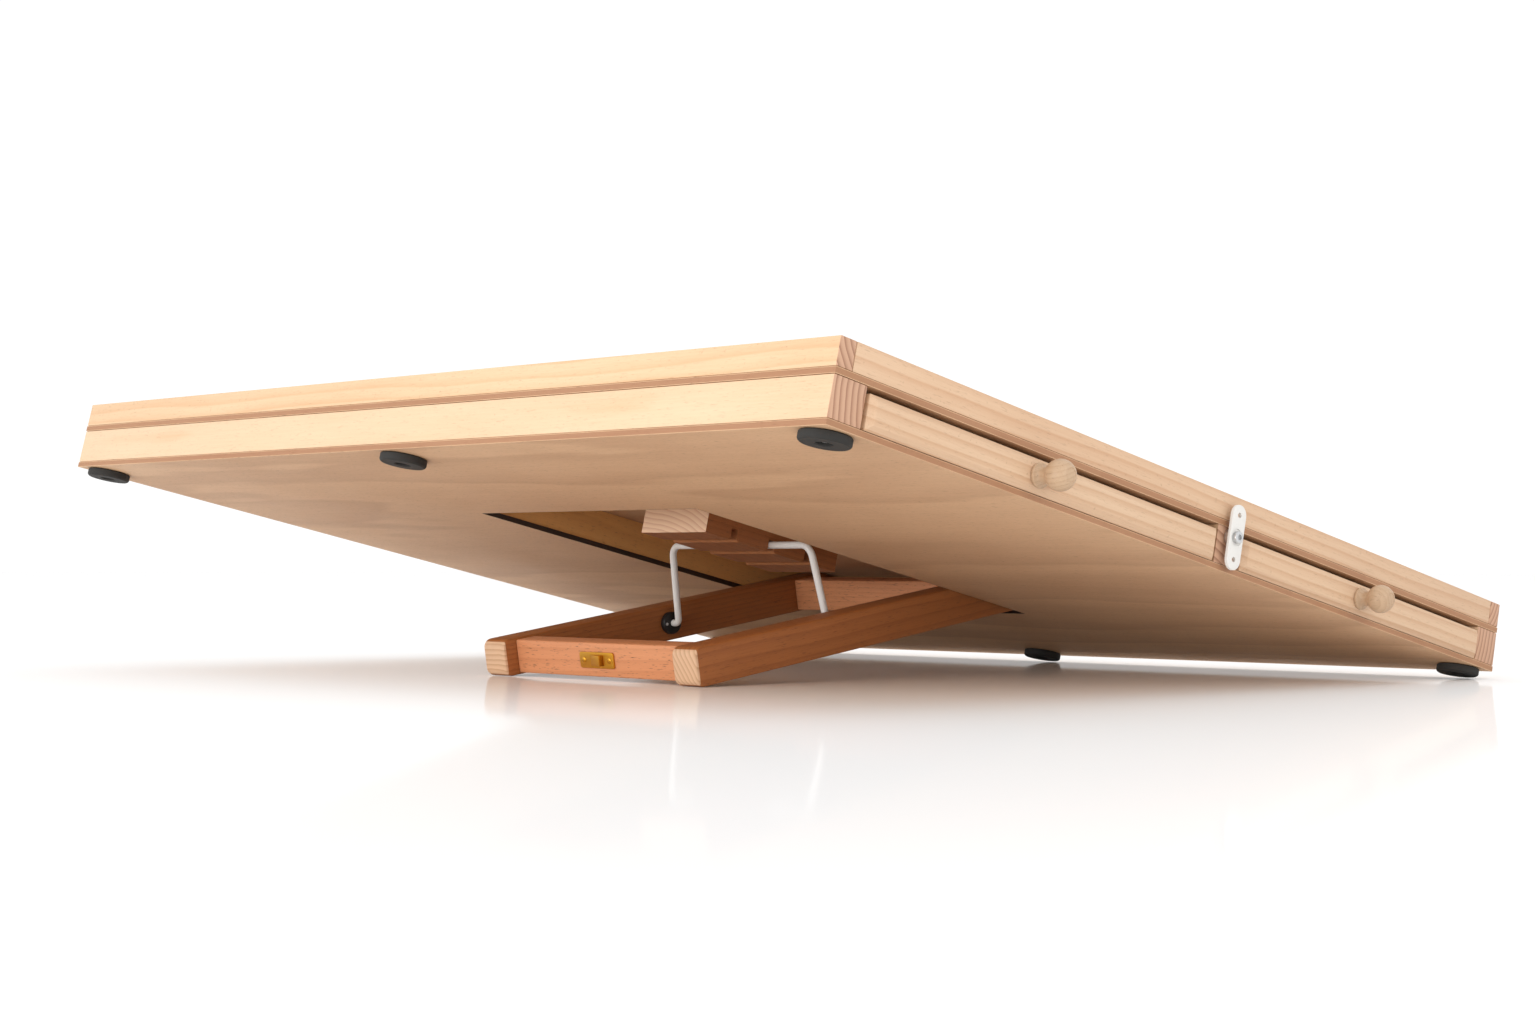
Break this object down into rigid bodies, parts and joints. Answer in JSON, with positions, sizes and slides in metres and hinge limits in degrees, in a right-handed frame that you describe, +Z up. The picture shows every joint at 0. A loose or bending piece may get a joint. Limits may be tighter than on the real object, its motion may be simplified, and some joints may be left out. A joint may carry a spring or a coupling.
{
  "type": "jigsaw puzzle board with drawers and folding stand",
  "caption": "Rimmed wooden jigsaw-puzzle board with slim side drawers, turn-button locks, and a fold-out stand held by a wire prop in a slotted ratchet, which tilts the worktop.",
  "frame": {"origin": "middle of the part's footprint, on the floor", "axes": "+X to the user's right, +Y from the raised rear edge towards the low front edge where the user sits, +Z up"},
  "size_m": [0.95, 0.6986, 0.2135],
  "materials": {
    "pine": "pale planed pine with an orange grain, clear satin finish",
    "pine_rail": "planed pine with a stronger brown grain",
    "pine_front": "planed pine, rounded edges, clear satin finish",
    "ply": "tan plywood face with short dark flecks",
    "ply_edge": "yellow-brown plywood, layered at the edges",
    "beech": "red-brown beech with fine flecks",
    "knob_wood": "pale turned beech, smooth",
    "rubber": "black, matte",
    "steel": "bright zinc",
    "white_metal": "near-white, satin",
    "white_coat": "white coating, smooth",
    "black_plastic": "black, satin",
    "brass": "plated, lightly brushed"
  },
  "bodies": {
    "board": {"bottom_panel": "ply", "worktop_panel": "ply", "rim_rear": "pine", "rim_front": "pine", "rim_left": "pine", "rim_right": "pine", "rail_rear": "pine_rail", "rail_front": "pine_rail", "divider_left": "pine_rail", "divider_right": "pine_rail", "recess_wall_left": "ply_edge", "recess_wall_right": "ply_edge", "recess_wall_rear": "ply_edge", "recess_wall_front": "ply_edge", "ratchet_board": "beech", "foot_rear_left": "rubber", "foot_rear_middle": "rubber", "foot_rear_right": "rubber", "foot_front_left": "rubber", "foot_front_middle": "rubber", "foot_front_right": "rubber", "hinge_bolt_left": "steel", "hinge_bolt_right": "steel", "catch_strike": "brass", "turn_screw_left": "steel", "turn_screw_right": "steel"},
    "drawer_left_rear": {"drawer_left_rear_front": "pine_front", "drawer_left_rear_side_rear": "ply_edge", "drawer_left_rear_side_front": "ply_edge", "drawer_left_rear_back": "ply_edge", "drawer_left_rear_bottom": "ply", "drawer_left_rear_knob": "knob_wood"},
    "drawer_left_front": {"drawer_left_front_front": "pine_front", "drawer_left_front_side_rear": "ply_edge", "drawer_left_front_side_front": "ply_edge", "drawer_left_front_back": "ply_edge", "drawer_left_front_bottom": "ply", "drawer_left_front_knob": "knob_wood"},
    "drawer_right_rear": {"drawer_right_rear_front": "pine_front", "drawer_right_rear_side_rear": "ply_edge", "drawer_right_rear_side_front": "ply_edge", "drawer_right_rear_back": "ply_edge", "drawer_right_rear_bottom": "ply", "drawer_right_rear_knob": "knob_wood"},
    "drawer_right_front": {"drawer_right_front_front": "pine_front", "drawer_right_front_side_rear": "ply_edge", "drawer_right_front_side_front": "ply_edge", "drawer_right_front_back": "ply_edge", "drawer_right_front_bottom": "ply", "drawer_right_front_knob": "knob_wood"},
    "turn_button_left": {"turn_plate_left": "white_metal"},
    "turn_button_right": {"turn_plate_right": "white_metal"},
    "stand": {"stand_arm_left": "beech", "stand_arm_right": "beech", "stand_bar_rear": "beech", "stand_bar_front": "beech", "wire_bushing_left": "black_plastic", "wire_bushing_right": "black_plastic", "catch_plate": "brass"},
    "prop": {"prop_wire": "white_coat"}
  },
  "joints": [
    {"name": "drawer_left_rear_slide", "type": "slide", "parent": "board", "child": "drawer_left_rear", "axis": [-1, 0, 0], "range_m": [0, 0.24]},
    {"name": "drawer_left_front_slide", "type": "slide", "parent": "board", "child": "drawer_left_front", "axis": [-1, 0, 0], "range_m": [0, 0.24]},
    {"name": "drawer_right_rear_slide", "type": "slide", "parent": "board", "child": "drawer_right_rear", "axis": [1, 0, 0], "range_m": [0, 0.24]},
    {"name": "drawer_right_front_slide", "type": "slide", "parent": "board", "child": "drawer_right_front", "axis": [1, 0, 0], "range_m": [0, 0.24]},
    {"name": "turn_button_left_turn", "type": "hinge", "parent": "board", "child": "turn_button_left", "pos_m": [-0.4506, 0.01269, 0.10395], "axis": [1, 0, 0], "range_deg": [-90, 0]},
    {"name": "turn_button_right_turn", "type": "hinge", "parent": "board", "child": "turn_button_right", "pos_m": [0.4506, 0.01269, 0.10395], "axis": [1, 0, 0], "range_deg": [-90, 0]},
    {"name": "stand_fold", "type": "hinge", "parent": "board", "child": "stand", "pos_m": [0, 0.14766, 0.06398], "axis": [-1, 0, 0], "range_deg": [0, 21.8]},
    {"name": "prop_swing", "type": "hinge", "parent": "board", "child": "prop", "pos_m": [0, -0.03103, 0.10014], "axis": [1, 0, 0], "range_deg": [0, 65.45]}
  ],
  "couplings": [
    {"joint": "prop_swing", "follows": "stand_fold", "ratio": 3}
  ]
}
